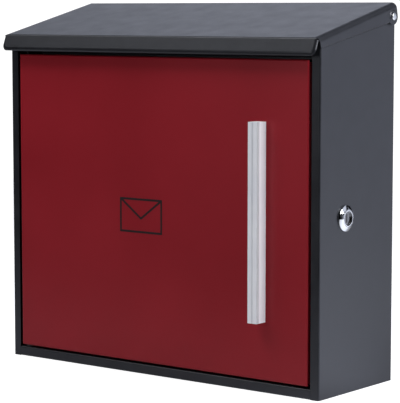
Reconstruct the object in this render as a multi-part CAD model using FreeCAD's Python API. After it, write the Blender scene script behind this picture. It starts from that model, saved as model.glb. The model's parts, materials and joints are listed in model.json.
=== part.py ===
import FreeCAD, Part
import math
import os
from FreeCAD import Vector

# A wall mounted post box of folded steel sheet, in millimetres.
# It is drawn in a box frame: x across from the middle, y back from the front face of the
# casing, z up from the base. Every finished piece is then moved so that the origin lies at
# the middle of the four wall screws, on the face that touches the wall.

# Sheet and folds
sheet = 0.8
bend_radius = 1.0

# Casing
casing_width = 360.0
casing_depth = 118.0
frame_strip = 8.7
base_strip = 9.3
back_flange = 15.0
back_rise = 5.0

# Wall fixing
wall_stand_off = 6.7
screw_spacing_x = 240.0
screw_spacing_z = 200.0
screw_centre_height = 160.0
screw_hole_radius = 3.5
wall_rib_length = 300.0
wall_rib_height = 44.0
wall_rib_run = 7.0

# Lid
lid_top_height = 342.3
lid_slope = 13.8
lid_sheet = 0.8
lid_bend_radius = 1.2
lid_side_bend_radius = 4.6
lid_hem_radius = 0.6
lid_hem_reach = 0.3
lid_hem_end = 1.0
lid_side_gap = 2.0
lid_rear_inset = 3.0
lid_overhang = 7.2
lid_rest_gap = 0.3
lid_edge_clearance = 1.5
flange_front_height = 9.9
flange_rear_drop = 5.0
flange_front_inset = 1.3
flange_front_rake = 2.1
flange_corner_radius = 3.0
lip_length = 15.9
lip_lean = 21.0
lip_end_inset = 0.9
lip_rim_radius = 3.4
lip_rim_depth = 2.0
lip_corner_radius = 6.0

# Lid pivots
pivot_inset = 7.8
pivot_drop = 12.5
pivot_shank_radius = 2.0
pivot_head_radius = 3.5
pivot_head_height = 1.6
pivot_head_crown = 1.2
pivot_tail_radius = 4.0
pivot_tail_height = 1.4
pivot_ear_radius = 7.5
pivot_boss_base_radius = 6.0
pivot_boss_top_radius = 5.1
pivot_boss_height = 0.6
pivot_washer_radius = 4.6

# Top rail
header_drop = 16.3
rail_flange = 16.0
rail_header_depth = 12.5
rail_stop_height = 8.0
rail_stop_relief = 29.0

# Bottom pan
pan_flange = 12.0
sill_depth = 13.5
pan_front_clearance = 0.2
drain_hole_radius = 3.0
drain_spacing = 280.0

# Door
door_gap = 2.9
door_bottom_gap = 2.0
door_top_gap = 2.5
door_proud = 0.9
door_return = 13.0
door_bend_radius = 1.0
door_corner_notch = 1.8
door_pin_inset = 5.6
door_pin_setback = 6.0
door_pin_radius = 2.0
door_pin_head_radius = 3.0
door_pin_head_height = 1.2
door_pin_reach = 8.0
door_washer_radius = 4.0

# Handle
handle_length = 176.0
handle_width = 10.3
handle_depth = 13.1
handle_from_edge = 49.55
handle_bottom_height = 63.3
handle_groove_width = 1.8
handle_groove_depth = 0.5
handle_side_groove_width = 1.2
handle_side_groove_setback = 2.0
handle_corner_radius = 0.7
handle_screw_spacing = 128.0
handle_screw_radius = 2.0
handle_screw_reach = 9.0
handle_screw_head_radius = 4.5
handle_screw_head_height = 2.4

# Lock
lock_height = 155.3
lock_setback = 39.6
lock_bezel_radius = 11.5
lock_bezel_height = 3.4
lock_bezel_rim = 1.4
lock_face_radius = 7.8
lock_recess = 1.8
lock_barrel_radius = 9.25
lock_barrel_flats = 16.6
lock_barrel_length = 18.0
lock_plug_radius = 6.5
lock_tail_size = 7.0
lock_nut_across_corners = 27.7
lock_nut_thickness = 3.0
keyway_width = 1.3
keyway_height = 7.5
keyway_depth = 12.0
cam_thickness = 1.8
cam_width = 12.0
cam_hub_radius = 7.4
cam_reach = 31.0
cam_washer_radius = 5.0
cam_washer_thickness = 0.8
cam_screw_radius = 2.0
cam_screw_across_corners = 8.0
cam_screw_head_height = 2.2
cam_screw_reach = 7.0

# Lock keeper
keeper_sheet = 1.2
keeper_width = 16.0
keeper_foot = 14.0
keeper_lip = 15.0
keeper_cam_overlap = 9.0
keeper_cam_gap = 1.4
keeper_side_gap = 1.6

# Clearances
running_clearance = 0.07
seat_clearance = 0.05
hole_clearance = 0.25
face_clearance = 0.1

# Drawing aids
nearby = 0.08
trim_margin = 20.0
nut_sides = 6

# Worked out from the sizes above
half_width = casing_width / 2.0
slope = math.radians(lid_slope)
lean = math.radians(lip_lean)
lid_half_width = half_width + lid_side_gap + lid_sheet
lid_rear = casing_depth - lid_rear_inset
lid_apex = Vector(0, -lid_overhang, lid_top_height - (lid_rear + lid_overhang) * math.tan(slope))
along_lid = Vector(0, math.cos(slope), math.sin(slope))
across_lid = Vector(0, -math.sin(slope), math.cos(slope))
flange_front_top = lid_apex + along_lid * flange_front_inset
pivot = Vector(0, casing_depth - pivot_inset, lid_top_height - pivot_drop)
pivot_to_lid = (lid_apex - pivot).dot(across_lid)
ear_radius = pivot_to_lid - lid_sheet - lid_edge_clearance
back_height = pivot.z + back_rise
opening_half_width = half_width - frame_strip
opening_top = lid_apex.z - header_drop
door_half_width = opening_half_width - door_gap
door_bottom = base_strip + door_bottom_gap
door_top = opening_top - door_top_gap
door_inside = sheet - door_proud
hinge_x = -door_half_width + door_pin_inset
handle_x = door_half_width - handle_from_edge
lock_centre = Vector(half_width, lock_setback, lock_height)
barrel_end = half_width - lock_barrel_length
cam_outer = barrel_end - face_clearance
cam_inner = cam_outer - cam_thickness
keeper_top = lock_height - cam_reach + keeper_cam_overlap


def turned(direction, normal):
    # The direction a quarter turn to the left, seen against the normal.
    return normal.cross(direction)


def folded_section(corners, normal, thickness, radius):
    # Section of a folded sheet. The corners run along the sheet's left face, seen against
    # the normal, and the thickness lies to the right of that line.
    left_edges = []
    right_edges = []
    left_start = corners[0]
    direction = (corners[1] - corners[0]).normalize()
    right_start = left_start - turned(direction, normal) * thickness
    first_cap = Part.LineSegment(left_start, right_start).toShape()
    for before, corner, after in zip(corners, corners[1:], corners[2:]):
        entering = (corner - before).normalize()
        leaving = (after - corner).normalize()
        turn = math.atan2(normal.dot(entering.cross(leaving)), entering.dot(leaving))
        side = math.copysign(1.0, turn)
        left_radius = radius if turn > 0 else radius + thickness
        right_radius = radius + thickness if turn > 0 else radius
        trim = left_radius * math.tan(abs(turn) / 2.0)
        bend_in = corner - entering * trim
        bend_out = corner + leaving * trim
        centre = bend_in + turned(entering, normal) * (side * left_radius)
        outward = (corner - centre).normalize()
        left_arc = Part.Arc(bend_in, centre + outward * left_radius, bend_out)
        right_in = bend_in - turned(entering, normal) * thickness
        right_out = bend_out - turned(leaving, normal) * thickness
        right_arc = Part.Arc(right_in, centre + outward * right_radius, right_out)
        left_edges += [Part.LineSegment(left_start, bend_in).toShape(), left_arc.toShape()]
        right_edges += [Part.LineSegment(right_start, right_in).toShape(), right_arc.toShape()]
        left_start = bend_out
        right_start = right_out
        direction = leaving
    left_end = corners[-1]
    right_end = left_end - turned(direction, normal) * thickness
    left_edges.append(Part.LineSegment(left_start, left_end).toShape())
    right_edges.append(Part.LineSegment(right_start, right_end).toShape())
    last_cap = Part.LineSegment(left_end, right_end).toShape()
    edges = left_edges + [last_cap] + right_edges[::-1] + [first_cap]
    return Part.Face(Part.Wire(Part.__sortEdges__(edges)))


def folded_along_x(corners, half_length, thickness, radius):
    # A folded sheet that keeps one section over its whole width.
    section = folded_section(corners, Vector(1, 0, 0), thickness, radius)
    section.translate(Vector(-half_length, 0, 0))
    return section.extrude(Vector(2.0 * half_length, 0, 0))


def prism(points, direction):
    return Part.Face(Part.makePolygon(points + [points[0]])).extrude(direction)


def box(low, high):
    size = high - low
    return Part.makeBox(size.x, size.y, size.z, low)


def cylinder(radius, start, end):
    axis = end - start
    return Part.makeCylinder(radius, axis.Length, start, axis)


def tube(outer_radius, inner_radius, start, end):
    return cylinder(outer_radius, start, end).cut(cylinder(inner_radius, start, end))


def turned_piece(profile, axis_point, axis):
    # Revolves (radius, height) points about an axis that leaves axis_point.
    spin = FreeCAD.Rotation(Vector(0, 0, 1), axis)
    ring = [Vector(radius, 0, height) for radius, height in profile]
    solid = Part.Face(Part.makePolygon(ring + [ring[0]])).revolve(Vector(), Vector(0, 0, 1), 360)
    solid.Placement = FreeCAD.Placement(axis_point, spin)
    return solid


def edges_where(shape, test):
    return [edge for edge in shape.Edges if test(edge)]


def runs_along(edge, axis):
    if len(edge.Vertexes) < 2:
        return False
    span = edge.Vertexes[-1].Point - edge.Vertexes[0].Point
    return span.Length > 0 and abs(span.normalize().dot(axis)) > 0.999


def mirrored(shape):
    return shape.mirror(Vector(), Vector(1, 0, 0))


def single(shape):
    # The one solid of a piece that has been joined or cut.
    merged = shape.removeSplitter()
    return merged.Solids[0]


def pressed_boss(base_radius, top_radius, height, thickness, hole_radius, centre, outward):
    # A round pad pressed out of a sheet, whose outer face passes through the centre.
    run = Vector(top_radius - base_radius, 0, height).normalize()
    inward = Vector(-run.z, 0, run.x)
    shifted = Vector(base_radius, 0, 0) + inward * thickness
    low = shifted + run * ((-thickness - shifted.z) / run.z)
    high = shifted + run * ((height - thickness - shifted.z) / run.z)
    profile = [(base_radius, -thickness), (base_radius, 0), (top_radius, height), (hole_radius, height),
               (hole_radius, height - thickness), (high.x, high.z), (low.x, low.z)]
    return turned_piece(profile, centre, outward)


def with_boss(panel, base_radius, top_radius, height, thickness, hole_radius, centre, outward):
    disc = cylinder(base_radius, centre - outward * (2.0 * thickness), centre + outward * thickness)
    boss = pressed_boss(base_radius, top_radius, height, thickness, hole_radius, centre, outward)
    return panel.cut(disc).fuse(boss)


def sloped_block(centre, half_x, half_z, run, rise, below):
    # A block on the plane through the centre that faces +Y, whose four sides lean inwards by
    # the run over the rise. It also reaches below that plane.
    spread = run * below / rise
    wide = half_x + spread
    tall = half_z + spread
    flat = [Vector(-wide, -below, 0), Vector(wide, -below, 0), Vector(half_x - run, rise, 0),
            Vector(run - half_x, rise, 0)]
    upright = [Vector(0, -below, -tall), Vector(0, -below, tall), Vector(0, rise, half_z - run),
               Vector(0, rise, run - half_z)]
    across = prism(flat, Vector(0, 0, 2.0 * tall))
    across.translate(Vector(0, 0, -tall))
    along = prism(upright, Vector(2.0 * wide, 0, 0))
    along.translate(Vector(-wide, 0, 0))
    block = across.common(along)
    block.translate(centre)
    return block


def with_wall_rib(panel, height):
    # A long pad pressed out of the back, whose flat top is the face that touches the wall.
    centre = Vector(0, casing_depth, height)
    half_x = wall_rib_length / 2.0
    half_z = wall_rib_height / 2.0
    slant = math.hypot(wall_rib_run, wall_stand_off)
    inset = sheet * (slant - wall_rib_run) / wall_stand_off
    outer = sloped_block(centre, half_x, half_z, wall_rib_run, wall_stand_off, sheet)
    inner_centre = centre - Vector(0, sheet, 0)
    inner = sloped_block(inner_centre, half_x - inset, half_z - inset, wall_rib_run, wall_stand_off,
                         sheet)
    return panel.fuse(outer).cut(inner)


def side_outline():
    # The casing seen from the side: its sloping top edge runs under the lid and rounds the pivot.
    tangent = pivot + across_lid * ear_radius
    front = tangent - along_lid * ((tangent.y + trim_margin) / along_lid.y)
    rear = pivot + Vector(0, ear_radius, 0)
    crown = (across_lid + Vector(0, 1, 0)).normalize()
    ear = Part.Arc(tangent, pivot + crown * ear_radius, rear).toShape()
    low_rear = Vector(0, rear.y, -trim_margin)
    low_front = Vector(0, -trim_margin, -trim_margin)
    line = Part.makePolygon([rear, low_rear, low_front, front, tangent])
    outline = Part.Face(Part.Wire([ear] + line.Edges))
    outline.translate(Vector(-casing_width, 0, 0))
    return outline.extrude(Vector(2.0 * casing_width, 0, 0))


def screw_points():
    for x in (-screw_spacing_x / 2.0, screw_spacing_x / 2.0):
        for z in (-screw_spacing_z / 2.0, screw_spacing_z / 2.0):
            yield Vector(x, casing_depth, screw_centre_height + z)


def lock_hole():
    radius = lock_barrel_radius + face_clearance
    hole = cylinder(radius, lock_centre - Vector(2.0 * sheet, 0, 0), lock_centre + Vector(sheet, 0, 0))
    flat = lock_barrel_flats / 2.0 + face_clearance
    low = lock_centre + Vector(-2.0 * sheet, -radius, -flat)
    high = lock_centre + Vector(sheet, radius, flat)
    return hole.common(box(low, high))


def casing_shell():
    height = lid_top_height
    plan = [Vector(-opening_half_width, 0, 0), Vector(-half_width, 0, 0),
            Vector(-half_width, casing_depth, 0), Vector(half_width, casing_depth, 0),
            Vector(half_width, 0, 0), Vector(opening_half_width, 0, 0)]
    section = folded_section(plan, Vector(0, 0, 1), sheet, bend_radius)
    shell = section.extrude(Vector(0, 0, height)).common(side_outline())
    inner = half_width - sheet
    relief_bottom = back_height - back_flange / 2.0
    shell = shell.cut(box(Vector(-inner, casing_depth - back_flange, back_height),
                          Vector(inner, casing_depth + sheet, height)))
    flat_half = half_width - sheet - bend_radius
    shell = shell.cut(box(Vector(-flat_half, casing_depth - 2.0 * sheet, relief_bottom),
                          Vector(flat_half, casing_depth + sheet, height)))
    top_fold = [Vector(0, casing_depth - back_flange, back_height),
                Vector(0, casing_depth, back_height), Vector(0, casing_depth, relief_bottom)]
    shell = shell.fuse(folded_along_x(top_fold, flat_half, sheet, bend_radius))
    for side in (-1.0, 1.0):
        shell = with_wall_rib(shell, screw_centre_height + side * screw_spacing_z / 2.0)
    for point in screw_points():
        shell = shell.cut(cylinder(screw_hole_radius, point, point + Vector(0, 2.0 * wall_stand_off, 0)))
    bore = pivot_shank_radius + seat_clearance
    across = Vector(half_width + sheet, 0, 0)
    shell = shell.cut(cylinder(bore, pivot - across, pivot + across))
    return single(shell.cut(lock_hole()))


def bottom_pan():
    # A floor with a flange up each side and a hollow fold along the front, under the door.
    inner_half = half_width - sheet
    front_half = opening_half_width - pan_front_clearance
    inner_rear = casing_depth - sheet
    profile = [Vector(0, inner_rear, 0), Vector(0, 0, 0), Vector(0, 0, base_strip),
               Vector(0, sill_depth, base_strip)]
    pan = folded_along_x(profile, front_half, sheet, bend_radius)
    side = [Vector(-inner_half, 0, pan_flange), Vector(-inner_half, 0, 0), Vector(inner_half, 0, 0),
            Vector(inner_half, 0, pan_flange)]
    section = folded_section(side, Vector(0, 1, 0), sheet, bend_radius)
    front = sheet + bend_radius + pan_front_clearance
    rear = inner_rear - sheet - bend_radius
    section.translate(Vector(0, front, 0))
    pan = pan.fuse(section.extrude(Vector(0, rear - front, 0)))
    for x in (-drain_spacing / 2.0, drain_spacing / 2.0):
        point = Vector(x, casing_depth / 2.0, -sheet)
        pan = pan.cut(cylinder(drain_hole_radius, point, point + Vector(0, 0, 3.0 * sheet)))
    bore = door_pin_radius + seat_clearance
    pin = Vector(hinge_x, door_pin_setback, base_strip)
    pan = pan.cut(cylinder(bore, pin - Vector(0, 0, 2.0 * sheet), pin + Vector(0, 0, sheet)))
    return single(pan)


def top_rail():
    rail_half = half_width - sheet - bend_radius
    web_front = sheet
    rest_drop = (lid_sheet + lid_rest_gap) / math.cos(slope)
    web_top = lid_apex.z + (lid_overhang + web_front) * math.tan(slope) - rest_drop
    crown = Vector(0, web_front, web_top)
    stop_front = rail_header_depth
    profile = [crown + along_lid * rail_flange, crown, Vector(0, web_front, opening_top),
               Vector(0, stop_front, opening_top), Vector(0, stop_front, opening_top - rail_stop_height)]
    profile = profile[::-1]
    rail = folded_along_x(profile, rail_half, sheet, bend_radius)
    relief = Vector(-half_width + rail_stop_relief, stop_front + 3.0 * sheet, opening_top - bend_radius)
    low = Vector(-half_width, stop_front - bend_radius - sheet, opening_top - 2.0 * rail_stop_height)
    rail = rail.cut(box(low, relief))
    bore = door_pin_radius + seat_clearance
    pin = Vector(hinge_x, door_pin_setback, opening_top)
    rail = rail.cut(cylinder(bore, pin - Vector(0, 0, sheet), pin + Vector(0, 0, 2.0 * sheet)))
    return single(rail)


def flange_low_line():
    # The flanges' lower edge: its front end, the point where it meets the ear, and the way down.
    front_low = flange_front_top + Vector(0, flange_front_rake, -flange_front_height)
    run = (pivot - Vector(0, 0, flange_rear_drop) - front_low).normalize()
    down = Vector(0, run.z, -run.y)
    below = (front_low - pivot).dot(down)
    back = math.sqrt(pivot_ear_radius ** 2 - below ** 2)
    return front_low, pivot + down * below - run * back, down


def lid_outline():
    # The lid's flanges seen from the side, above their lower edge, with an ear round the pivot.
    front_top = flange_front_top
    front_low, ear_low, down = flange_low_line()
    ear_rear = pivot + Vector(0, pivot_ear_radius, 0)
    ear_crown = pivot + (down + Vector(0, 1, 0)).normalize() * pivot_ear_radius
    rear_top = Vector(0, lid_rear, lid_top_height + lid_sheet)
    above_front = Vector(0, front_top.y, rear_top.z)
    ear = Part.Arc(ear_low, ear_crown, ear_rear).toShape()
    line = Part.makePolygon([ear_rear, rear_top, above_front, front_top, front_low, ear_low])
    outline = Part.Face(Part.Wire([ear] + line.Edges))
    outline.translate(Vector(-2.0 * lid_half_width, 0, 0))
    solid = outline.extrude(Vector(4.0 * lid_half_width, 0, 0))
    corner = edges_where(solid, lambda e: runs_along(e, Vector(1, 0, 0))
                         and (e.Vertexes[0].Point - front_low).cross(Vector(1, 0, 0)).Length < sheet)
    return solid.makeFillet(flange_corner_radius, corner)


def with_hem(cover):
    # The lower edge of each flange is turned in towards the casing, short of the front corner.
    front_low, ear_low, down = flange_low_line()
    run = (ear_low - front_low).normalize()
    up = Vector(0, -run.z, run.y)
    outer = lid_hem_radius + lid_sheet
    start = front_low + run * (flange_corner_radius + lid_hem_end)
    length = (ear_low - start).Length - lid_hem_end
    strip = [start - up * outer, start + run * length - up * outer, start + run * length + up * outer,
             start + up * outer]
    across = Vector(2.0 * lid_half_width, 0, 0)
    notch = prism([point - across for point in strip], across * 2.0)
    edge = start + Vector(lid_half_width, 0, 0)
    corners = [edge + up * (outer + lid_sheet), edge, edge - Vector(outer + lid_hem_reach, 0, 0)]
    hem = folded_section(corners, run * -1.0, lid_sheet, lid_hem_radius).extrude(run * length)
    return cover.cut(notch).fuse([hem, mirrored(hem)])


def with_rounded_corners(front):
    # The front's upper corners follow the bend between the top and the flanges.
    radius = lid_side_bend_radius + lid_sheet
    start = lid_apex - along_lid * trim_margin
    corner = start + Vector(lid_half_width - radius, 0, 0) - across_lid * radius
    reach = 2.0 * radius
    square = [corner, corner + Vector(reach, 0, 0), corner + Vector(reach, 0, 0) + across_lid * reach,
              corner + across_lid * reach]
    block = prism(square, along_lid * (2.0 * trim_margin))
    block = block.cut(cylinder(radius, corner - along_lid, corner + along_lid * (3.0 * trim_margin)))
    return front.cut(block).cut(mirrored(block))


def lid_lip():
    # A panel that leans outwards, with its edge dished back at the bottom and the ends.
    half = lid_half_width - lip_end_inset
    bend_trim = (lid_bend_radius + lid_sheet) * math.tan((math.pi / 2.0 - slope - lean) / 2.0)
    start = bend_trim + lid_sheet / 2.0

    def shape(inset, rim_radius, depth_from, depth_to):
        reach = half - inset
        low = Vector(-reach, depth_from, -lip_length + inset)
        block = box(low, Vector(reach, 2.0 * rim_radius, -start + inset))
        corners = edges_where(block, lambda e: runs_along(e, Vector(0, 1, 0))
                              and e.Vertexes[0].Z < -lip_length / 2.0)
        block = block.makeFillet(lip_corner_radius - inset, corners)
        front = edges_where(block, lambda e: max(abs(v.Y - depth_from) for v in e.Vertexes) < nearby
                            and min(v.Z for v in e.Vertexes) < -start + inset - nearby)
        block = block.makeFillet(rim_radius, front)
        return block.common(box(Vector(-lid_half_width, 0, -trim_margin),
                                Vector(lid_half_width, depth_to, trim_margin)))

    tray = shape(0.0, lip_rim_radius, 0.0, lip_rim_depth)
    hollow = shape(lid_sheet, lip_rim_radius - lid_sheet, lid_sheet, lip_rim_depth + lid_sheet)
    tray = tray.cut(hollow)
    tray.rotate(Vector(), Vector(1, 0, 0), -lip_lean)
    tray.translate(lid_apex)
    return tray, start


def lid_shell():
    lip, lip_start = lid_lip()
    lip_direction = Vector(0, -math.sin(lean), -math.cos(lean))
    joint = lip_start
    fold = [lid_apex + lip_direction * lip_start, lid_apex, lid_apex + along_lid * joint]
    front = folded_along_x(fold, lid_half_width - lip_end_inset, lid_sheet, lid_bend_radius)
    front = with_rounded_corners(front.fuse(lip))
    flange = 2.0 * (pivot_drop + pivot_ear_radius)
    corner = [Vector(-lid_half_width, 0, 0) - across_lid * flange, Vector(-lid_half_width, 0, 0),
              Vector(lid_half_width, 0, 0), Vector(lid_half_width, 0, 0) - across_lid * flange]
    section = folded_section(corner, along_lid * -1.0, lid_sheet, lid_side_bend_radius)
    section.translate(lid_apex + along_lid * joint)
    length = (lid_rear + 2.0 * lid_overhang) / math.cos(slope)
    cover = with_hem(section.extrude(along_lid * length).common(lid_outline()))
    for side in (-1.0, 1.0):
        outward = Vector(side, 0, 0)
        centre = pivot + outward * lid_half_width
        cover = with_boss(cover, pivot_boss_base_radius, pivot_boss_top_radius, pivot_boss_height,
                          lid_sheet, pivot_shank_radius + running_clearance, centre, outward)
    return single(cover.fuse(front))


def lid_pivot():
    # A domed rivet: its tail grips the casing side and its head holds the lid's flange.
    seat = lid_half_width + pivot_boss_height + seat_clearance
    inner = half_width - sheet
    shank = cylinder(pivot_shank_radius, pivot + Vector(inner, 0, 0), pivot + Vector(seat, 0, 0))
    rim = pivot_head_height - pivot_head_crown
    crown = pivot_head_radius - pivot_head_crown
    head = turned_piece([(0, 0), (pivot_head_radius, 0), (pivot_head_radius, rim),
                         (crown, pivot_head_height), (0, pivot_head_height)],
                        pivot + Vector(seat, 0, 0), Vector(1, 0, 0))
    tail = cylinder(pivot_tail_radius, pivot + Vector(inner, 0, 0),
                    pivot + Vector(inner - pivot_tail_height, 0, 0))
    return single(shank.fuse([head, tail]))


def lid_pivot_washer():
    inner_face = lid_half_width + pivot_boss_height - lid_sheet
    start = pivot + Vector(half_width, 0, 0)
    end = pivot + Vector(inner_face - face_clearance, 0, 0)
    return tube(pivot_washer_radius, pivot_shank_radius + seat_clearance, start, end)


def door_panel():
    # A folded tray whose four returns stop short of each other at the corners.
    low = Vector(-door_half_width, -door_proud, door_bottom)
    high = Vector(door_half_width, door_return - door_proud, door_top)

    def tray(inset, radius, extra):
        shift = Vector(inset, inset, inset)
        block = box(low + shift, Vector(high.x - inset, high.y + extra, high.z - inset))
        face = low.y + inset
        front = edges_where(block, lambda e: max(abs(v.Y - face) for v in e.Vertexes) < nearby)
        return block.makeFillet(radius, front)

    panel = tray(0.0, door_bend_radius + sheet, 0.0).cut(tray(sheet, door_bend_radius, sheet))
    notch_front = low.y + door_bend_radius + sheet
    for x in (low.x, high.x):
        for z in (low.z, high.z):
            corner = Vector(x, notch_front, z)
            reach = Vector(door_corner_notch, 0, door_corner_notch)
            panel = panel.cut(box(corner - reach, corner + reach + Vector(0, door_return, 0)))
    bore = door_pin_radius + running_clearance
    pin = Vector(hinge_x, door_pin_setback, 0)
    panel = panel.cut(cylinder(bore, pin, pin + Vector(0, 0, lid_top_height)))
    for point in handle_screw_points():
        hole = cylinder(handle_screw_radius + hole_clearance, point - Vector(0, sheet, 0),
                        point + Vector(0, 2.0 * sheet, 0))
        panel = panel.cut(hole)
    return single(panel)


def door_pin(sheet_face, into_door):
    # A pin riveted through the frame, with its head on the far side from the door.
    up = Vector(0, 0, into_door)
    far_face = sheet_face - up * sheet
    shank = cylinder(door_pin_radius, far_face, sheet_face + up * door_pin_reach)
    head = cylinder(door_pin_head_radius, far_face, far_face - up * door_pin_head_height)
    return single(shank.fuse(head))


def door_pin_lower():
    return door_pin(Vector(hinge_x, door_pin_setback, base_strip), 1.0)


def door_pin_upper():
    return door_pin(Vector(hinge_x, door_pin_setback, opening_top), -1.0)


def door_washer():
    start = Vector(hinge_x, door_pin_setback, base_strip)
    end = Vector(hinge_x, door_pin_setback, door_bottom - face_clearance)
    return tube(door_washer_radius, door_pin_radius + seat_clearance, start, end)


def handle_screw_points():
    middle = handle_bottom_height + handle_length / 2.0
    for z in (-handle_screw_spacing / 2.0, handle_screw_spacing / 2.0):
        yield Vector(handle_x, -door_proud, middle + z)


def handle_bar():
    # An extruded bar with a wide groove down its front and a thin one down each side.
    back = -door_proud
    front = back - handle_depth
    half = handle_width / 2.0
    low = Vector(handle_x - half, front, handle_bottom_height)
    bar = box(low, Vector(handle_x + half, back, handle_bottom_height + handle_length))
    front_corners = edges_where(bar, lambda e: runs_along(e, Vector(0, 0, 1))
                                and abs(e.Vertexes[0].Y - front) < sheet)
    bar = bar.makeFillet(handle_corner_radius, front_corners)
    run = Vector(0, 0, handle_length)
    middle = Vector(handle_x, front, handle_bottom_height)
    groove = prism([middle + Vector(-handle_groove_width / 2.0, -nearby, 0),
                    middle + Vector(handle_groove_width / 2.0, -nearby, 0),
                    middle + Vector(0, handle_groove_depth, 0)], run)
    bar = bar.cut(groove)
    for side in (-1.0, 1.0):
        edge = middle + Vector(side * half, handle_side_groove_setback, 0)
        out = Vector(side * nearby, 0, 0)
        slit = prism([edge + out + Vector(0, -handle_side_groove_width / 2.0, 0),
                      edge + out + Vector(0, handle_side_groove_width / 2.0, 0),
                      edge - Vector(side * handle_groove_depth, 0, 0)], run)
        bar = bar.cut(slit)
    for point in handle_screw_points():
        blind = handle_screw_reach + handle_screw_radius
        bar = bar.cut(cylinder(handle_screw_radius + seat_clearance, point, point - Vector(0, blind, 0)))
    return single(bar)


def handle_screws():
    screws = []
    for point in handle_screw_points():
        seat = Vector(point.x, door_inside, point.z)
        shank = cylinder(handle_screw_radius, seat, Vector(point.x, point.y - handle_screw_reach, point.z))
        head = cylinder(handle_screw_head_radius, seat, seat + Vector(0, handle_screw_head_height, 0))
        screws.append(single(shank.fuse(head)))
    return Part.makeCompound(screws)


def lock_housing():
    # Domed bezel outside, barrel with two flats through the side wall, and a bore for the plug.
    outward = Vector(1, 0, 0)
    bezel = turned_piece([(0, 0), (lock_bezel_radius, 0), (lock_bezel_radius, lock_bezel_rim),
                          (lock_face_radius, lock_bezel_height), (0, lock_bezel_height)],
                         lock_centre, outward)
    inner_end = lock_centre - outward * lock_barrel_length
    barrel = cylinder(lock_barrel_radius, lock_centre, inner_end)
    flat = lock_barrel_flats / 2.0
    reach = lock_barrel_radius + sheet
    barrel = barrel.common(box(inner_end + Vector(-sheet, -reach, -flat),
                               lock_centre + Vector(sheet, reach, flat)))
    body = bezel.fuse(barrel)
    bore = cylinder(lock_plug_radius + running_clearance, inner_end - outward,
                    lock_centre + outward * (2.0 * lock_bezel_height))
    return single(body.cut(bore))


def lock_plug():
    outward = Vector(1, 0, 0)
    face = lock_centre + outward * (lock_bezel_height - lock_recess)
    inner_end = Vector(barrel_end, lock_centre.y, lock_centre.z)
    plug = cylinder(lock_plug_radius, inner_end, face)
    half = lock_tail_size / 2.0
    tail_end = cam_inner + face_clearance
    tail = box(Vector(tail_end, lock_centre.y - half, lock_centre.z - half),
               Vector(barrel_end + sheet, lock_centre.y + half, lock_centre.z + half))
    keyway = box(face + Vector(-keyway_depth, -keyway_width / 2.0, -keyway_height / 2.0),
                 face + Vector(sheet, keyway_width / 2.0, keyway_height / 2.0))
    hole_start = Vector(tail_end, lock_centre.y, lock_centre.z)
    hole_end = hole_start + outward * cam_screw_reach
    hole = cylinder(cam_screw_radius + seat_clearance, hole_start, hole_end)
    return single(plug.fuse(tail).cut(keyway).cut(hole))


def hexagon(centre, across_corners, height):
    # A six sided block that reaches inwards from its centre.
    points = []
    for step in range(nut_sides):
        angle = 2.0 * math.pi * step / nut_sides
        spoke = Vector(0, math.cos(angle), math.sin(angle))
        points.append(centre + spoke * (across_corners / 2.0))
    return prism(points, Vector(-height, 0, 0))


def lock_nut():
    start = Vector(half_width - sheet, lock_centre.y, lock_centre.z)
    nut = hexagon(start, lock_nut_across_corners, lock_nut_thickness)
    end = start - Vector(lock_nut_thickness, 0, 0)
    return single(nut.cut(cylinder(lock_barrel_radius + seat_clearance, start, end)))


def lock_cam():
    # A flat arm on the plug's square tail. At rest it points at the door, clear of the keeper.
    start = Vector(cam_outer, lock_centre.y, lock_centre.z)
    half = cam_width / 2.0
    hub = cylinder(cam_hub_radius, start, start - Vector(cam_thickness, 0, 0))
    arm = box(start + Vector(-cam_thickness, -cam_reach + half, -half), start + Vector(0, 0, half))
    tip_centre = start - Vector(0, cam_reach - half, 0)
    tip = cylinder(half, tip_centre, tip_centre - Vector(cam_thickness, 0, 0))
    cam = hub.fuse([arm, tip])
    hole = lock_tail_size / 2.0 + seat_clearance
    return single(cam.cut(box(start + Vector(-2.0 * cam_thickness, -hole, -hole),
                              start + Vector(cam_thickness, hole, hole))))


def cam_washer():
    start = Vector(cam_inner, lock_centre.y, lock_centre.z)
    end = start - Vector(cam_washer_thickness, 0, 0)
    return tube(cam_washer_radius, cam_screw_radius + hole_clearance, start, end)


def cam_screw():
    seat = Vector(cam_inner - cam_washer_thickness, lock_centre.y, lock_centre.z)
    end = Vector(cam_inner + cam_screw_reach - sheet, lock_centre.y, lock_centre.z)
    shank = cylinder(cam_screw_radius, seat, end)
    head = hexagon(seat, cam_screw_across_corners, cam_screw_head_height)
    return single(shank.fuse(head))


def lock_keeper():
    # A bracket on the back of the door. Its upright lip stands behind the cam when locked.
    lip_front = lock_setback + cam_width / 2.0 + keeper_cam_gap
    web = keeper_top - keeper_lip
    profile = [Vector(0, door_inside, web - keeper_foot), Vector(0, door_inside, web),
               Vector(0, lip_front, web), Vector(0, lip_front, keeper_top)]
    keeper = folded_along_x(profile, keeper_width / 2.0, keeper_sheet, bend_radius)
    side = door_half_width - sheet - keeper_side_gap
    keeper.translate(Vector(side - keeper_width / 2.0, 0, 0))
    return keeper


def export(node, shape):
    moved = shape.copy()
    moved.translate(Vector(0, -casing_depth - wall_stand_off, -screw_centre_height))
    moved.exportStep("parts/" + node + ".step")
    print(node, "solids", len(moved.Solids), "volume", round(moved.Volume, 1), "valid", moved.isValid())


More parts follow.
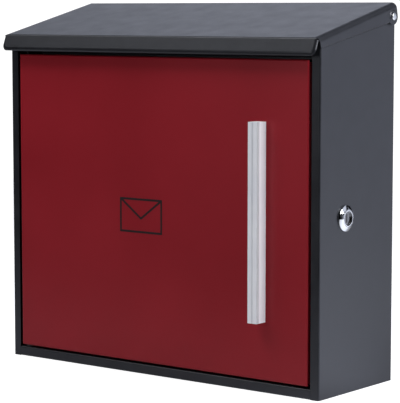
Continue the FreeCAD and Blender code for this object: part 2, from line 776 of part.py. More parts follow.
def main():
    os.makedirs("parts", exist_ok=True)
    export("casing_shell", casing_shell())
    export("bottom_pan", bottom_pan())
    export("top_rail", top_rail())
    export("lid_shell", lid_shell())
    export("lid_pivot_right", lid_pivot())
    export("lid_pivot_left", mirrored(lid_pivot()))
    export("lid_pivot_washer_right", lid_pivot_washer())
    export("lid_pivot_washer_left", mirrored(lid_pivot_washer()))
    export("door_panel", door_panel())
    export("door_pin_upper", door_pin_upper())
    export("door_pin_lower", door_pin_lower())
    export("door_washer", door_washer())
    export("handle_bar", handle_bar())
    export("handle_screws", handle_screws())
    export("lock_housing", lock_housing())
    export("lock_plug", lock_plug())
    export("lock_nut", lock_nut())
    export("lock_cam", lock_cam())
    export("cam_washer", cam_washer())
    export("cam_screw", cam_screw())
    export("lock_keeper", lock_keeper())


main()
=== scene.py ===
import json
import math

import bpy
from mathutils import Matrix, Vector


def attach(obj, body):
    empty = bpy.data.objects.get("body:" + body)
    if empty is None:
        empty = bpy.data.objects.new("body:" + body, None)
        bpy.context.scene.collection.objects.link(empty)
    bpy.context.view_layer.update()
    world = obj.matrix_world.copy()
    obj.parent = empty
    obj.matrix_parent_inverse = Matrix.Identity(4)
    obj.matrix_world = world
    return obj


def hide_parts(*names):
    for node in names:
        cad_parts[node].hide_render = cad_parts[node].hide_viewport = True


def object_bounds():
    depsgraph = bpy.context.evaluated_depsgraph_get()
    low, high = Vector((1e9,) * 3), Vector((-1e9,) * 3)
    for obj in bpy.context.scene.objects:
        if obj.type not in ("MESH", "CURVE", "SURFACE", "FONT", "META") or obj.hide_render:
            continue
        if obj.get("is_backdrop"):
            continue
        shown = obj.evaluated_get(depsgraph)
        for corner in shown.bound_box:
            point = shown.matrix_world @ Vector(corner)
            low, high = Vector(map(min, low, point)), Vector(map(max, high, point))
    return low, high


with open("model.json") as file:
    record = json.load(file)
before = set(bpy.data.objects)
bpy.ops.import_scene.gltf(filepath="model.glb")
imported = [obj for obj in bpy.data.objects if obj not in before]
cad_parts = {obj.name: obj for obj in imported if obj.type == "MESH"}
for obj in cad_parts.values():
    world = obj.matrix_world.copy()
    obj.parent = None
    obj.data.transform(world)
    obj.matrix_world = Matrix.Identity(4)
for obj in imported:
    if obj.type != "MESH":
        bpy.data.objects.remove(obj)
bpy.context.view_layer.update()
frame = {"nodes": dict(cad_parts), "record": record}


class Wire:
    # one output of a node, so that shader maths reads as plain arithmetic

    def __init__(self, tree, socket=None):
        self.tree = tree
        self.socket = socket

    def node(self, kind, settings=None, sockets=None, output=0):
        made = self.tree.nodes.new(kind)
        for name, value in (settings or {}).items():
            setattr(made, name, value)
        for name, value in (sockets or {}).items():
            if isinstance(value, Wire):
                self.tree.links.new(value.socket, made.inputs[name])
            else:
                made.inputs[name].default_value = value
        return Wire(self.tree, made.outputs[output]) if made.outputs else None

    def maths(self, operation, first, second=0.0):
        return self.node("ShaderNodeMath", {"operation": operation}, {0: first, 1: second})

    def __add__(self, other):
        return self.maths("ADD", self, other)

    def __radd__(self, other):
        return self.maths("ADD", other, self)

    def __sub__(self, other):
        return self.maths("SUBTRACT", self, other)

    def __rsub__(self, other):
        return self.maths("SUBTRACT", other, self)

    def __mul__(self, other):
        return self.maths("MULTIPLY", self, other)

    def __rmul__(self, other):
        return self.maths("MULTIPLY", other, self)

    def ramp(self, low, high):
        # 0 below low, 1 above high, smooth between
        return self.node("ShaderNodeMapRange", {"interpolation_type": "SMOOTHSTEP"},
                         {"Value": self, "From Min": low, "From Max": high})

    def tint(self, dark, light):
        # a colour between two, mixed by this value
        return self.node("ShaderNodeMix", {"data_type": "RGBA"},
                         {0: self, 6: (*dark, 1.0), 7: (*light, 1.0)}, output=2)

    def dimmed(self, where, colour):
        # this colour times another, where the factor is 1
        return self.node("ShaderNodeMix", {"data_type": "RGBA", "blend_type": "MULTIPLY"},
                         {0: where, 6: self, 7: (*colour, 1.0)}, output=2)


def newMaterial(name):
    # an empty material, the wires on it, and its object coordinates
    material = bpy.data.materials.new(name)
    material.use_nodes = True
    material.node_tree.nodes.clear()
    paper = Wire(material.node_tree)
    return material, paper, paper.node("ShaderNodeTexCoord", output="Object")


def finishMaterial(paper, shader):
    paper.node("ShaderNodeOutputMaterial", {}, {"Surface": shader})


def coatWith(paper, sockets):
    finishMaterial(paper, paper.node("ShaderNodeBsdfPrincipled", {}, sockets))


def noise(paper, place, scale, detail=2.0, rough=0.5, stretch=(1.0, 1.0, 1.0)):
    spot = paper.node("ShaderNodeMapping", {}, {"Vector": place, "Scale": stretch})
    return paper.node("ShaderNodeTexNoise", {},
                      {"Vector": spot, "Scale": scale, "Detail": detail, "Roughness": rough})


def bumps(paper, height, strength, distance):
    return paper.node("ShaderNodeBump", {},
                      {"Strength": strength, "Distance": distance, "Height": height})


def along(paper, place, axis):
    # one of the three numbers of a place
    return paper.node("ShaderNodeSeparateXYZ", {}, {0: place}, output=axis)


anthraciteCoat = {
    "dark": (0.0085, 0.0090, 0.0112), "light": (0.0145, 0.0152, 0.0186),
    "patchScale": 60.0, "speckScale": 900.0, "peelHeight": 0.00006, "peelStrength": 0.35,
    "roughness": 0.36, "roughSpread": 0.14, "specular": 0.435, "tint": (0.90, 0.92, 1.0),
}

redCoat = {
    "dark": (0.262, 0.0112, 0.018), "light": (0.314, 0.0142, 0.023),
    "patchScale": 9.0, "speckScale": 2600.0, "peelHeight": 0.00004, "peelStrength": 0.25,
    "roughness": 0.33, "roughSpread": 0.06, "specular": 0.2, "tint": (1.0, 0.9, 0.92),
}

# what both paints share: cloudy patches, fine specks and the orange peel of the powder
powderGrain = {
    "patchDetail": 3.0, "patchRough": 0.55, "patchShare": 0.7, "speckDetail": 1.0,
    "speckSpread": 0.05, "peelScale": 420.0, "peelDetail": 2.0, "peelRough": 0.4,
    "peelShare": 0.75, "contrastFrom": 0.3, "contrastTo": 0.7,
}


def powderCoat(name, coat):
    material, paper, place = newMaterial(name)
    grain = powderGrain
    patches = noise(paper, place, coat["patchScale"], grain["patchDetail"], grain["patchRough"])
    specks = noise(paper, place, coat["speckScale"], grain["speckDetail"])
    peel = noise(paper, place, grain["peelScale"], grain["peelDetail"], grain["peelRough"])
    mixed = patches * grain["patchShare"] + specks * (1.0 - grain["patchShare"])
    shade = mixed.ramp(grain["contrastFrom"], grain["contrastTo"])
    rough = coat["roughness"] + coat["roughSpread"] * (patches - 0.5) \
        + grain["speckSpread"] * (specks - 0.5)
    height = peel * grain["peelShare"] + specks * (1.0 - grain["peelShare"])
    coatWith(paper, {"Base Color": shade.tint(coat["dark"], coat["light"]), "Roughness": rough,
                     "Normal": bumps(paper, height, coat["peelStrength"], coat["peelHeight"]),
                     "Specular IOR Level": coat["specular"],
                     "Specular Tint": (*coat["tint"], 1.0)})
    return material


# the bar's own measures say where its front slot and the rebates behind its corners lie, which get
# painted shade
aluminiumBar = {
    "dark": (0.86, 0.87, 0.93), "light": (0.96, 0.97, 1.0), "metallic": 0.10,
    "lineScale": 900.0, "lineStretch": (1.0, 1.0, 0.012), "lineDetail": 3.0, "lineRough": 0.6,
    "lineShare": 0.6, "lineHeight": 0.00002, "lineStrength": 0.3, "cloudScale": 40.0,
    "contrastFrom": 0.25, "contrastTo": 0.75, "roughness": 0.74, "roughSpread": 0.12,
    "centreX": 0.11885, "frontY": -0.13870, "halfWidth": 0.00515,
    "slotHalf": 0.0008, "slotDepth": 0.0006, "slotEdge": 0.5, "slotPaintedShade": 0.30,
    "rebateDepth": 0.0031, "rebateEdge": 0.2, "rebateFrom": 0.0005, "rebateTo": 0.0002,
    "paintedShadeColour": (0.55, 0.55, 0.55),
}

chromePlate = {"dark": (0.72, 0.73, 0.75), "light": (0.86, 0.87, 0.88), "roughness": 0.10,
               "hazeScale": 180.0, "rippleHeight": 0.00001}

rivetPlate = {"dark": (0.46, 0.47, 0.48), "light": (0.60, 0.61, 0.62), "roughness": 0.26,
              "hazeScale": 420.0, "rippleHeight": 0.00002}

# a darker copy of the chrome plate: painted shade for the plug down in the lock's mouth
shadedPlugPlate = {"dark": (0.13, 0.13, 0.135), "light": (0.19, 0.19, 0.195), "roughness": 0.16,
             "hazeScale": 300.0, "rippleHeight": 0.00001}

# what every polished piece shares
plateHaze = {"detail": 4.0, "rough": 0.6, "rippleStrength": 0.2, "roughSpread": 0.08}

zincPlate = {"dark": (0.42, 0.43, 0.44), "light": (0.66, 0.67, 0.68), "roughness": 0.34,
             "spangleScale": 900.0}

pinSteel = {"dark": (0.020, 0.020, 0.021), "light": (0.050, 0.050, 0.052), "roughness": 0.42,
            "spangleScale": 1200.0}

# what the zinc and the steel of the pins share
spangleHaze = {"scale": 220.0, "detail": 3.0, "spangleShare": 0.5, "roughSpread": 0.12}

nylonWasher = {"dark": (0.020, 0.020, 0.021), "light": (0.034, 0.034, 0.035), "roughness": 0.55,
               "roughSpread": 0.1, "grainScale": 1500.0, "grainHeight": 0.00003,
               "grainStrength": 0.3}


def paintedGrooveShade(paper, place, bar):
    # painted shade: up to the slot's share in the slot of the front face, and 1 in the rebates
    # behind the corners
    off = paper.maths("ABSOLUTE", along(paper, place, "X") - bar["centreX"])
    back = along(paper, place, "Y") - bar["frontY"]
    soft = bar["slotEdge"]
    slot = (1.0 - off.ramp(bar["slotHalf"] * (1.0 - soft), bar["slotHalf"] * (1.0 + soft))) \
        * (1.0 - back.ramp(bar["slotDepth"], bar["slotDepth"] * (1.0 + soft)))
    soft = bar["rebateEdge"]
    deepEnd = bar["rebateDepth"]
    rebate = off.ramp(bar["halfWidth"] - bar["rebateFrom"], bar["halfWidth"] - bar["rebateTo"]) \
        * (1.0 - back.ramp(deepEnd * (1.0 - soft), deepEnd * (1.0 + soft)))
    return paper.maths("MAXIMUM", slot * bar["slotPaintedShade"], rebate)


def drawnAluminium(name, bar):
    # fine lines run up the bar, as the die leaves them
    material, paper, place = newMaterial(name)
    lines = noise(paper, place, bar["lineScale"], bar["lineDetail"], bar["lineRough"],
                  bar["lineStretch"])
    cloud = noise(paper, place, bar["cloudScale"])
    mixed = lines * bar["lineShare"] + cloud * (1.0 - bar["lineShare"])
    tone = mixed.ramp(bar["contrastFrom"], bar["contrastTo"]).tint(bar["dark"], bar["light"])
    # the slot and the rebates behind the corners are darkened by painted shade
    coatWith(paper, {"Base Color": tone.dimmed(paintedGrooveShade(paper, place, bar), bar["paintedShadeColour"]),
                     "Metallic": bar["metallic"],
                     "Roughness": bar["roughness"] + bar["roughSpread"] * (lines - 0.5),
                     "Normal": bumps(paper, lines, bar["lineStrength"], bar["lineHeight"])})
    return material


def polishedPlate(name, plate):
    material, paper, place = newMaterial(name)
    haze = noise(paper, place, plate["hazeScale"], plateHaze["detail"], plateHaze["rough"])
    coatWith(paper, {"Base Color": haze.tint(plate["dark"], plate["light"]), "Metallic": 1.0,
                     "Roughness": plate["roughness"] + plateHaze["roughSpread"] * haze,
                     "Normal": bumps(paper, haze, plateHaze["rippleStrength"],
                                     plate["rippleHeight"])})
    return material


def zincFinish(name, plate):
    material, paper, place = newMaterial(name)
    cells = paper.node("ShaderNodeTexVoronoi", {},
                       {"Vector": place, "Scale": plate["spangleScale"]}, output="Color")
    spangle = paper.node("ShaderNodeSeparateColor", {}, {"Color": cells})
    haze = noise(paper, place, spangleHaze["scale"], spangleHaze["detail"])
    share = spangleHaze["spangleShare"]
    mixed = spangle * share + haze * (1.0 - share)
    coatWith(paper, {"Base Color": mixed.tint(plate["dark"], plate["light"]), "Metallic": 1.0,
                     "Roughness": plate["roughness"] + spangleHaze["roughSpread"] * mixed})
    return material


def mouldedPlastic(name, plastic):
    material, paper, place = newMaterial(name)
    grain = noise(paper, place, plastic["grainScale"])
    coatWith(paper, {"Base Color": grain.tint(plastic["dark"], plastic["light"]),
                     "Roughness": plastic["roughness"] + plastic["roughSpread"] * grain,
                     "Normal": bumps(paper, grain, plastic["grainStrength"],
                                     plastic["grainHeight"])})
    return material


finishes = {
    "anthracite_paint": powderCoat("anthraciteCoat", anthraciteCoat),
    "red_paint": powderCoat("redCoat", redCoat),
    "anodised_aluminium": drawnAluminium("drawnAluminium", aluminiumBar),
    "chrome_plate": polishedPlate("chromePlate", chromePlate),
    "zinc_plate": zincFinish("zincPlate", zincPlate),
    "nylon": mouldedPlastic("nylonWasher", nylonWasher),
}
shadedPlugFinish = polishedPlate("shadedPlugPlate", shadedPlugPlate)
rivetFinish = polishedPlate("rivetPlate", rivetPlate)
pinFinish = zincFinish("pinSteel", pinSteel)
# pieces that look unlike the rest of their material
ownFinishes = {
    # the lock plug's darker plating is painted shade
    "lock_plug": shadedPlugFinish,
    "lid_pivot_left": rivetFinish, "lid_pivot_right": rivetFinish,
    "door_pin_upper": pinFinish, "door_pin_lower": pinFinish,
}

for part in frame["record"]["subparts"]:
    node = frame["nodes"][part["node"]]
    node.data.materials.clear()
    node.data.materials.append(ownFinishes.get(part["node"], finishes[part["material_slot"]]))
print("finishes on", len(frame["nodes"]), "pieces")


# how squarely a face looks along an axis, how far apart two places still count as the same or as
# close, how near points are welded, the angle that is smoothed, and the sides of a turned rod
benchRules = {"facing": 0.99, "same": 0.000001, "close": 0.0001, "weld": 0.000002,
              "smoothAngle": 32.0, "sides": 96}


def deselect():
    if bpy.context.mode != "OBJECT":
        bpy.ops.object.mode_set(mode="OBJECT")
    bpy.ops.object.select_all(action="DESELECT")


def selectOnly(piece):
    deselect()
    piece.select_set(True)
    bpy.context.view_layer.objects.active = piece


def nameNew(name):
    # the piece just added gets its name, and its place goes into its mesh
    piece = bpy.context.active_object
    piece.name = name
    piece.data.name = name
    bpy.ops.object.transform_apply(location=True, rotation=True, scale=True)
    return piece


def pick(piece, kind, test):
    # in edit mode with only the faces, or the edges, that pass the test
    bpy.ops.object.mode_set(mode="EDIT")
    bpy.ops.mesh.select_mode(type=kind)
    bpy.ops.mesh.select_all(action="DESELECT")
    bpy.ops.object.mode_set(mode="OBJECT")
    mesh = piece.data
    if kind == "FACE":
        for face in mesh.polygons:
            face.select = test(face.center, face.normal)
    else:
        for edge in mesh.edges:
            edge.select = test(*[mesh.vertices[index].co for index in edge.vertices])
    bpy.ops.object.mode_set(mode="EDIT")


def turnedBlank(name, axis, centre, start, end, radius, sides=benchRules["sides"]):
    # a short rod about an axis through the centre, from start to end along it
    deselect()
    middle = Vector(centre) + Vector(axis) * (start + end) / 2.0
    turn = Vector(axis).to_track_quat("Z", "Y").to_euler()
    bpy.ops.mesh.primitive_cylinder_add(vertices=sides, radius=radius, depth=end - start,
                                        location=middle, rotation=turn)
    return nameNew(name)


def carryEnd(piece, axis, centre, way, steps):
    # the end that faces the given way is carried on in steps of (advance, new radius over old)
    axis = Vector(axis)
    reach = max(face.center.dot(axis) * way for face in piece.data.polygons)
    pick(piece, "FACE", lambda place, normal: normal.dot(axis) * way > benchRules["facing"]
         and place.dot(axis) * way > reach - benchRules["same"])
    for advance, ratio in steps:
        bpy.ops.mesh.extrude_region_move(TRANSFORM_OT_translate={"value": axis * (advance * way)})
        squeeze = [1.0 if abs(part) > 0.5 else ratio for part in axis]
        bpy.ops.transform.resize(value=squeeze, center_override=centre)
    bpy.ops.object.mode_set(mode="OBJECT")


def profileSteps(points):
    # (distance, radius) points along a turned profile become (advance, ratio) steps
    return [(far[0] - near[0], far[1] / near[1]) for near, far in zip(points, points[1:])]


def domePoints(start, radius, height, rings, tip):
    # rings of a dome from its foot up, which stops an angle of tip short of the middle
    points = []
    for ring in range(1, rings + 1):
        angle = (math.pi / 2.0 - tip) * ring / rings
        points.append((start + height * math.sin(angle), radius * math.cos(angle)))
    return points


def combine(piece, tool, operation):
    # the tool is cut from the piece or joined to it, and then removed
    bpy.context.view_layer.objects.active = piece
    step = piece.modifiers.new("combine", "BOOLEAN")
    step.operation = operation
    step.solver = "EXACT"
    step.object = tool
    bpy.ops.object.modifier_apply(modifier=step.name)
    bpy.data.objects.remove(tool)


def mirroredCopy(piece, name):
    # the same piece with its own mesh, on the other side of the box
    selectOnly(piece)
    bpy.ops.object.duplicate()
    twin = nameNew(name)
    bpy.ops.object.mode_set(mode="EDIT")
    bpy.ops.mesh.select_all(action="SELECT")
    bpy.ops.transform.resize(value=(-1.0, 1.0, 1.0), center_override=(0.0, 0.0, 0.0))
    bpy.ops.object.mode_set(mode="OBJECT")
    return twin


def finishPiece(piece, body, surface, angle=benchRules["smoothAngle"]):
    selectOnly(piece)
    bpy.ops.object.mode_set(mode="EDIT")
    bpy.ops.mesh.select_all(action="SELECT")
    bpy.ops.mesh.remove_doubles(threshold=benchRules["weld"])
    bpy.ops.mesh.normals_make_consistent(inside=False)
    bpy.ops.object.mode_set(mode="OBJECT")
    bpy.ops.object.shade_smooth_by_angle(angle=math.radians(angle))
    piece.data.materials.clear()
    piece.data.materials.append(surface)
    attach(piece, body)


rivet = {
    "axis": (1.0, 0.0, 0.0), "centre": (0.0, -0.0145, 0.1698),
    "tailFrom": 0.1778, "tailTo": 0.1792, "tailRadius": 0.0040, "tailBevel": 0.0003,
    "tailTaper": 0.9, "shankRadius": 0.0020, "seat": 0.18345, "headRadius": 0.0035,
    "rim": 0.0003, "crown": 0.0012, "rings": 8, "tip": 0.12,
}


def lidRivet(name, form):
    # a drum rivet: tail inside the casing, shank through both sheets, domed head outside
    axis = form["axis"]
    piece = turnedBlank(name, axis, form["centre"], form["tailFrom"], form["tailTo"],
                        form["tailRadius"])
    rimTop = form["seat"] + form["rim"]
    profile = [(form["tailTo"], form["tailRadius"]), (form["tailTo"], form["shankRadius"]),
               (form["seat"], form["shankRadius"]), (form["seat"], form["headRadius"]),
               (rimTop, form["headRadius"])]
    profile += domePoints(rimTop, form["headRadius"], form["crown"], form["rings"], form["tip"])
    carryEnd(piece, axis, form["centre"], 1.0, profileSteps(profile))
    carryEnd(piece, axis, form["centre"], -1.0, [(form["tailBevel"], form["tailTaper"])])
    return piece


rivetRight = lidRivet("lidRivetRight", rivet)
rivetLeft = mirroredCopy(rivetRight, "lidRivetLeft")
for piece, node in ((rivetRight, "lid_pivot_right"), (rivetLeft, "lid_pivot_left")):
    finishPiece(piece, "casing", ownFinishes[node])
    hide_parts(node)
print("lid rivets made")


# the profile is (distance along the axis, radius), from the wall outwards and into the bore
bezel = {
    "axis": (1.0, 0.0, 0.0), "centre": (0.0, -0.0851, -0.0047), "boreRadius": 0.00655,
    "profile": [(0.1800, 0.01165), (0.18110, 0.01165), (0.18145, 0.01152), (0.18172, 0.01115),
                (0.18345, 0.00805), (0.18358, 0.00775), (0.18362, 0.00745), (0.18352, 0.00718),
                (0.18325, 0.00700), (0.18265, 0.00688), (0.18190, 0.00680), (0.18155, 0.00655)],
    "sides": 128, "smoothAngle": 40.0,
    "plate": (0.60, 0.61, 0.63), "paintedMouthShade": (0.05, 0.05, 0.055), "mouthFrom": 0.0073,
    "mouthTo": 0.0079, "roughness": 0.09, "roughSpread": 0.06, "hazeScale": 180.0,
}


def bezelPlate(form):
    # polished plate, with painted shade down in the mouth of the lock
    material, paper, place = newMaterial("bezelPlate")
    haze = noise(paper, place, form["hazeScale"], plateHaze["detail"], plateHaze["rough"])
    down = paper.node("ShaderNodeVectorMath", {"operation": "SUBTRACT"},
                      {0: place, 1: form["centre"]})
    flat = paper.node("ShaderNodeVectorMath", {"operation": "MULTIPLY"},
                      {0: down, 1: (0.0, 1.0, 1.0)})
    away = paper.node("ShaderNodeVectorMath", {"operation": "LENGTH"}, {0: flat}, output="Value")
    # painted shade: the plate turns dark inside this radius
    outside = away.ramp(form["mouthFrom"], form["mouthTo"])
    coatWith(paper, {"Base Color": outside.tint(form["paintedMouthShade"], form["plate"]), "Metallic": 1.0,
                     "Roughness": form["roughness"] + form["roughSpread"] * haze})
    return material


def lockBezel(form):
    # a ring with a sloping face and a rounded rim, which rolls over into the bore
    axis = form["axis"]
    profile = form["profile"]
    piece = turnedBlank("lockBezel", axis, form["centre"], profile[0][0], profile[1][0],
                        profile[0][1], form["sides"])
    carryEnd(piece, axis, form["centre"], 1.0, profileSteps(profile[1:]))
    carryEnd(piece, axis, form["centre"], -1.0, [(0.0, form["boreRadius"] / profile[0][1])])

    def fromAxis(place):
        return math.hypot(place.y - form["centre"][1], place.z - form["centre"][2])

    # both ends are opened, and the bore is closed between their edges
    pick(piece, "FACE", lambda place, normal: abs(normal.x) > benchRules["facing"]
         and fromAxis(place) < benchRules["close"])
    bpy.ops.mesh.delete(type="FACE")
    bpy.ops.object.mode_set(mode="OBJECT")
    reach = form["boreRadius"] + benchRules["close"]
    pick(piece, "EDGE", lambda first, second: max(fromAxis(first), fromAxis(second)) < reach
         and abs(first.x - second.x) < benchRules["same"])
    bpy.ops.mesh.bridge_edge_loops()
    bpy.ops.object.mode_set(mode="OBJECT")
    return piece


bezelRing = lockBezel(bezel)
finishPiece(bezelRing, "casing", bezelPlate(bezel), bezel["smoothAngle"])
print("lock bezel made")


screw = {
    "axis": (0.0, 1.0, 0.0),
    "centres": {"handleScrewLower": (0.11885, 0.0, -0.0727),
                "handleScrewUpper": (0.11885, 0.0, 0.0553)},
    "seat": -0.1248, "flangeRadius": 0.0045, "flangeHeight": 0.0008, "flangeBevel": 0.0002,
    "headRadius": 0.0036, "headHeight": 0.0024, "rings": 7, "tip": 0.12,
    "shankRadius": 0.0020, "shankLength": 0.0098, "pointLength": 0.001, "pointTaper": 0.5,
    "crossLength": 0.0040, "crossWidth": 0.0009, "crossDepth": 0.0014,
}


def handleScrew(name, centre, form):
    # a flanged head with a cross recess; the shank runs forward into the handle
    axis = form["axis"]
    flange = form["flangeRadius"]
    bevel = form["flangeBevel"]
    flangeTop = form["seat"] + form["flangeHeight"]
    piece = turnedBlank(name, axis, centre, form["seat"], flangeTop - bevel, flange)
    profile = [(flangeTop - bevel, flange), (flangeTop, flange - bevel),
               (flangeTop, form["headRadius"])]
    profile += domePoints(flangeTop, form["headRadius"], form["headHeight"] - form["flangeHeight"],
                          form["rings"], form["tip"])
    carryEnd(piece, axis, centre, 1.0, profileSteps(profile))
    shank = [(0.0, flange), (0.0, form["shankRadius"]),
             (form["shankLength"] - form["pointLength"], form["shankRadius"]),
             (form["shankLength"], form["shankRadius"] * form["pointTaper"])]
    carryEnd(piece, axis, centre, -1.0, profileSteps(shank))
    top = (centre[0], form["seat"] + form["headHeight"], centre[2])
    for turn in (0.0, math.pi / 2.0):
        deselect()
        bpy.ops.mesh.primitive_cube_add(size=1.0, location=top, rotation=(0.0, turn, 0.0),
                                        scale=(form["crossLength"], form["crossDepth"] * 2.0,
                                               form["crossWidth"]))
        combine(piece, nameNew("crossCutter"), "DIFFERENCE")
    return piece


for name, centre in screw["centres"].items():
    piece = handleScrew(name, centre, screw)
    finishPiece(piece, "door", finishes["zinc_plate"])
    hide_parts("handle_screws")
print("handle screws made")


envelope = {
    "centre": (-0.0174, -0.1256, -0.0125), "width": 0.050, "height": 0.032, "line": 0.0019,
    "proud": 0.00012, "flapDrop": 0.55, "strokeOverlap": 0.35, "smoothAngle": 20.0,
    "ink": (0.012, 0.010, 0.011), "inkSoft": (0.020, 0.017, 0.018), "inkScale": 900.0,
    "roughness": 0.45, "roughSpread": 0.1, "specular": 0.2,
}


def inkPaint(form):
    material, paper, place = newMaterial("markInk")
    cover = noise(paper, place, form["inkScale"])
    coatWith(paper, {"Base Color": cover.tint(form["ink"], form["inkSoft"]),
                     "Roughness": form["roughness"] + form["roughSpread"] * (cover - 0.5),
                     "Specular IOR Level": form["specular"]})
    return material


def envelopeMark(form):
    # the plain outline of an envelope: a frame, and two strokes for the flap
    x, y, z = form["centre"]
    y -= form["proud"] / 2.0
    line = form["line"]
    close = benchRules["close"]
    deselect()
    bpy.ops.mesh.primitive_cube_add(size=1.0, location=(x, y, z),
                                    scale=(form["width"], form["proud"], form["height"]))
    mark = nameNew("doorMark")
    pick(mark, "FACE", lambda place, normal: abs(normal.y) > benchRules["facing"])
    bpy.ops.mesh.inset(thickness=line)
    bpy.ops.object.mode_set(mode="OBJECT")
    # the frame's opening goes through from front to back
    pick(mark, "FACE", lambda place, normal: abs(normal.y) > benchRules["facing"]
         and abs(place.z - z) < close and abs(place.x - x) < close)
    bpy.ops.mesh.bridge_edge_loops()
    bpy.ops.object.mode_set(mode="OBJECT")
    top = z + form["height"] / 2.0 - line / 2.0
    run = Vector((form["width"] / 2.0 - line / 2.0, 0.0, form["height"] * form["flapDrop"]))
    for side in (-1.0, 1.0):
        tilt = math.atan2(run.z, run.x) * side
        deselect()
        bpy.ops.mesh.primitive_cube_add(size=1.0, rotation=(0.0, -tilt, 0.0),
                                        location=(x + side * run.x / 2.0, y, top - run.z / 2.0),
                                        scale=(run.length + line * form["strokeOverlap"],
                                               form["proud"], line))
        combine(mark, nameNew("flapStroke"), "UNION")
    return mark


doorMark = envelopeMark(envelope)
finishPiece(doorMark, "door", inkPaint(envelope), envelope["smoothAngle"])
print("door mark made")


roomTints = {"onObject": (0.90, 0.95, 1.12), "seen": (1.0, 1.0, 1.0)}


def lightPath(paper, kind):
    return paper.node("ShaderNodeLightPath", output=f"Is {kind} Ray")


def backdropShows(paper, where):
    # 1 where the white backdrop is seen straight on, or in metal or glass that faces it
    mirrored = paper.maths("MAXIMUM", lightPath(paper, "Glossy"), lightPath(paper, "Transmission"))
    return paper.maths("MAXIMUM", lightPath(paper, "Camera"), mirrored * where)


def roomColour(paper):
    # white to the camera, and a little cool where it lights the object
    return lightPath(paper, "Camera").tint(roomTints["onObject"], roomTints["seen"])


# what the glossy coats show of the floor is painted: bright right of the slanting edge of a
# painted shadow of the box, paler close in front, and dark farther out
floorSettings = {"size": 3.0, "colour": (0.62, 0.62, 0.62), "glow": 0.75, "mirrorGlow": 1.10,
                 "slantX": 0.87, "slantY": -0.50, "litFrom": 0.12, "litTo": 0.22,
                 "behindFrom": -0.20, "behindTo": 0.0, "nearFrom": -0.60, "nearTo": -0.20,
                 "nearGlow": 0.2, "farColour": (0.08, 0.08, 0.08)}


def floorPaint(form):
    material, paper, place = newMaterial("paleFloor")
    across = along(paper, place, "X")
    deep = along(paper, place, "Y")
    slant = across * form["slantX"] + deep * form["slantY"]
    beyondPaintedShadow = slant.ramp(form["litFrom"], form["litTo"])
    behind = deep.ramp(form["behindFrom"], form["behindTo"])
    near = deep.ramp(form["nearFrom"], form["nearTo"])
    # painted reflection: the glow that glossy coats see stops at the edge of a painted shadow of
    # the box
    mirrored = beyondPaintedShadow * behind * (form["mirrorGlow"] / form["glow"]) \
        + near * (1.0 - behind) * (form["nearGlow"] / form["glow"])
    glow = paper.node("ShaderNodeEmission", {},
                      {"Color": roomColour(paper),
                       "Strength": backdropShows(paper, mirrored) * form["glow"]})
    matt = paper.node("ShaderNodeBsdfDiffuse", {}, {"Color": (*form["colour"], 1.0)})
    bright = paper.node("ShaderNodeAddShader", {}, {0: matt, 1: glow})
    dark = paper.node("ShaderNodeBsdfDiffuse", {}, {"Color": (*form["farColour"], 1.0)})
    finishMaterial(paper, paper.node("ShaderNodeMixShader", {},
                                     {0: lightPath(paper, "Glossy") * (1.0 - near),
                                      1: bright, 2: dark}))
    return material


def layFloor(form):
    deselect()
    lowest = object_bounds()[0]
    bpy.ops.mesh.primitive_plane_add(size=form["size"], location=(0, 0, lowest[2]))
    floor = nameNew("paleFloor")
    floor.data.materials.append(floorPaint(form))
    floor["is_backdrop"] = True


layFloor(floorSettings)
print("floor laid")


# the room is bright behind the box, up to a height; what metal shows of it has a dark gap that
# slants across, a dark post in its middle, and less light at the far left
skySettings = {"back": 1.15, "backFrom": -0.10, "backTo": 0.40, "upFrom": 0.60, "upTo": 0.95,
               "maskFrom": 0.50, "maskTo": 1.00, "gapSlant": 0.30, "gapLow": 0.49,
               "gapHigh": 0.67, "postLeft": -0.16, "postRight": 0.34, "postFoot": -0.02,
               "postTop": 0.56, "softEdge": 0.03, "leftFrom": -0.85, "leftTo": -0.55,
               "leftFade": 0.85}


def buildSky(sky):
    def between(value, low, high):
        # 1 from low to high, with soft edges
        soft = sky["softEdge"]
        return value.ramp(low - soft, low + soft) * (1.0 - value.ramp(high - soft, high + soft))

    world = bpy.data.worlds.new("studio")
    bpy.context.scene.world = world
    world.use_nodes = True
    world.node_tree.nodes.clear()
    paper = Wire(world.node_tree)
    place = paper.node("ShaderNodeTexCoord", output="Generated")
    across, deep, high = [along(paper, place, axis) for axis in "XYZ"]
    backward = deep.ramp(sky["backFrom"], sky["backTo"])
    leftPart = 1.0 - across.ramp(sky["leftFrom"], sky["leftTo"])
    gap = between(high + across * sky["gapSlant"], sky["gapLow"], sky["gapHigh"])
    post = between(across, sky["postLeft"], sky["postRight"]) \
        * between(high, sky["postFoot"], sky["postTop"])
    backdrop = backward * (1.0 - high.ramp(sky["maskFrom"], sky["maskTo"])) \
        * ((1.0 - gap) * (1.0 - post)) * (1.0 - sky["leftFade"] * leftPart)
    room = backward * (1.0 - high.ramp(sky["upFrom"], sky["upTo"])) * sky["back"]
    level = paper.maths("MAXIMUM", room * (1.0 - lightPath(paper, "Glossy")),
                        backdropShows(paper, backdrop))
    back = paper.node("ShaderNodeBackground", {}, {"Color": roomColour(paper), "Strength": level})
    paper.node("ShaderNodeOutputWorld", {}, {"Surface": back})


buildSky(skySettings)
print("sky made")


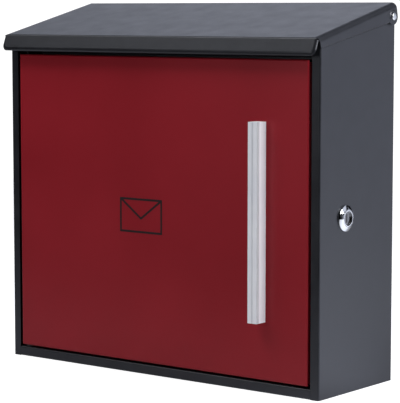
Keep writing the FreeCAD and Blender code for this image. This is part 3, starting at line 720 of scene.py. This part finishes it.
def standAt(name, data, target, form):
    # turn is measured from straight ahead towards the right of the picture, lift is above level
    turn = math.radians(form["turn"])
    lift = math.radians(form["lift"])
    way = Vector((math.sin(turn) * math.cos(lift), -math.cos(turn) * math.cos(lift),
                  math.sin(lift)))
    holder = bpy.data.objects.new(name, data)
    bpy.context.scene.collection.objects.link(holder)
    holder.location = Vector(target) + way * form["away"]
    holder.rotation_euler = way.to_track_quat("Z", "Y").to_euler()
    return holder


lampSettings = {
    "leftSoftbox": {"turn": -40.0, "lift": 54.0, "away": 1.9, "wide": 0.6, "tall": 0.6,
                    "power": 4.2},
    "farLeftSoftbox": {"turn": -57.0, "lift": 45.0, "away": 1.9, "wide": 0.6, "tall": 0.8,
                       "power": 5.0},
    "highSoftbox": {"turn": -26.0, "lift": 58.0, "away": 1.9, "wide": 0.9, "tall": 0.5,
                    "power": 7.4},
    "frontFill": {"turn": -16.0, "lift": 12.0, "away": 1.9, "wide": 0.6, "tall": 0.6,
                  "power": 4.6},
    "sideSoftbox": {"turn": 91.0, "lift": 30.0, "away": 1.6, "wide": 0.55, "tall": 0.7,
                    "power": 18.5},
}
lampRig = {"colour": (0.97, 0.98, 1.0), "aim": (0.0, -0.10, 0.0)}


def hangLamp(name, lamp):
    light = bpy.data.lights.new(name, "AREA")
    light.shape = "RECTANGLE"
    light.size = lamp["wide"]
    light.size_y = lamp["tall"]
    light.energy = lamp["power"]
    light.color = lampRig["colour"]
    standAt(name, light, lampRig["aim"], lamp)


for name, lamp in lampSettings.items():
    hangLamp(name, lamp)
print("lamps hung")


cameraSettings = {"turn": 37.92, "lift": 5.904, "away": 1.6499, "lens": 164.64, "farEnd": 20.0,
                  "target": (0.05069, -0.1247, 0.00499)}


def placeCamera(look):
    camera = bpy.data.cameras.new("photoCamera")
    camera.lens = look["lens"]
    camera.clip_end = look["farEnd"]
    bpy.context.scene.camera = standAt("photoCamera", camera, look["target"], look)


placeCamera(cameraSettings)
bpy.context.scene.view_settings.view_transform = "Standard"
print("camera set")
